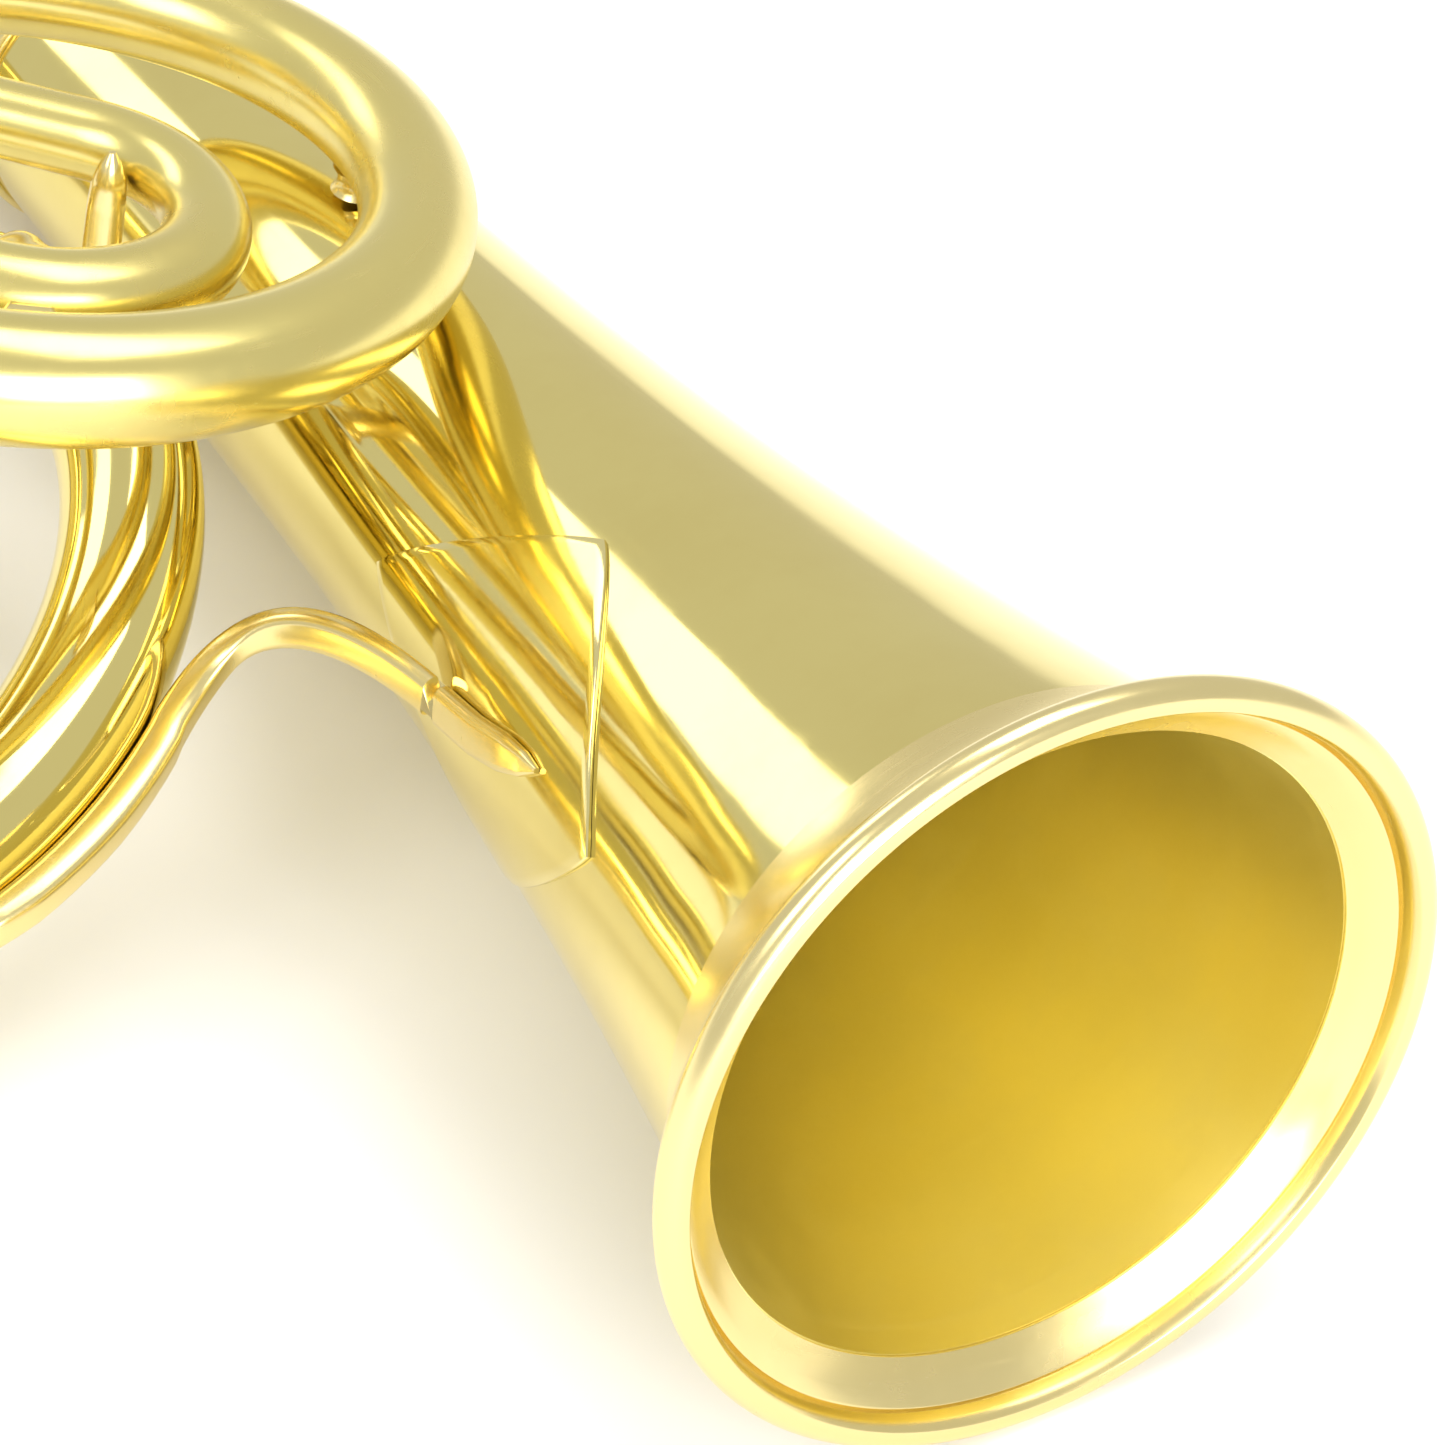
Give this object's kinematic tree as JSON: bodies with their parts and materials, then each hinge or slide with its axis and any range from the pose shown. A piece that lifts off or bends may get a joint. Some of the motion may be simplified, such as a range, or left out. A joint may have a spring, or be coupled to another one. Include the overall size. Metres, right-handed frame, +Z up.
{
  "type": "coiled natural horn (cornet)",
  "caption": "Coiled valveless brass horn with a flared bell, mouthpiece and carrying ring, lying on its rim and rear bow.",
  "frame": {"origin": "middle of the underside of the whole horn's box, on the surface it lies on", "axes": "+X towards the bell's mouth, +Y away from the coil's long run, +Z up from the surface"},
  "size_m": [0.3836, 0.242, 0.1108],
  "materials": {
    "brass": "polished outside, satin inside the bell",
    "pale_brass": "polished, paler alloy",
    "silver_plate": "polished silver plate over brass"
  },
  "bodies": {
    "horn": {"bell": "brass", "rim_ring": "pale_brass", "bell_patch": "brass", "mouthpipe": "brass", "inner_bow": "brass", "outer_bow": "brass", "side_bow": "brass", "lower_bow": "brass", "rear_bow": "brass", "pipe_ferrule": "pale_brass", "inner_ferrule": "pale_brass", "outer_ferrule": "pale_brass", "side_ferrule": "pale_brass", "lower_ferrule": "pale_brass", "bell_ferrule": "pale_brass", "receiver": "pale_brass", "bell_stay": "pale_brass", "coil_stay": "pale_brass", "hole_stay": "pale_brass", "coil_saddle": "pale_brass", "cross_stay": "pale_brass", "cross_flange_upper": "pale_brass", "cross_flange_lower": "pale_brass", "ring_eye": "pale_brass"},
    "mouthpiece": {"mouthpiece": "silver_plate"},
    "carrying_ring": {"carrying_ring": "pale_brass"}
  },
  "joints": [
    {"name": "mouthpiece_pull", "type": "slide", "parent": "horn", "child": "mouthpiece", "axis": [-0.689, -0.7241, 0.0309], "range_m": [0, 0.035]},
    {"name": "carrying_ring_swing", "type": "hinge", "parent": "horn", "child": "carrying_ring", "pos_m": [-0.17832, -0.02465, 0.01826], "axis": [0, 0.9865, -0.1638], "range_deg": [0, 135]}
  ]
}
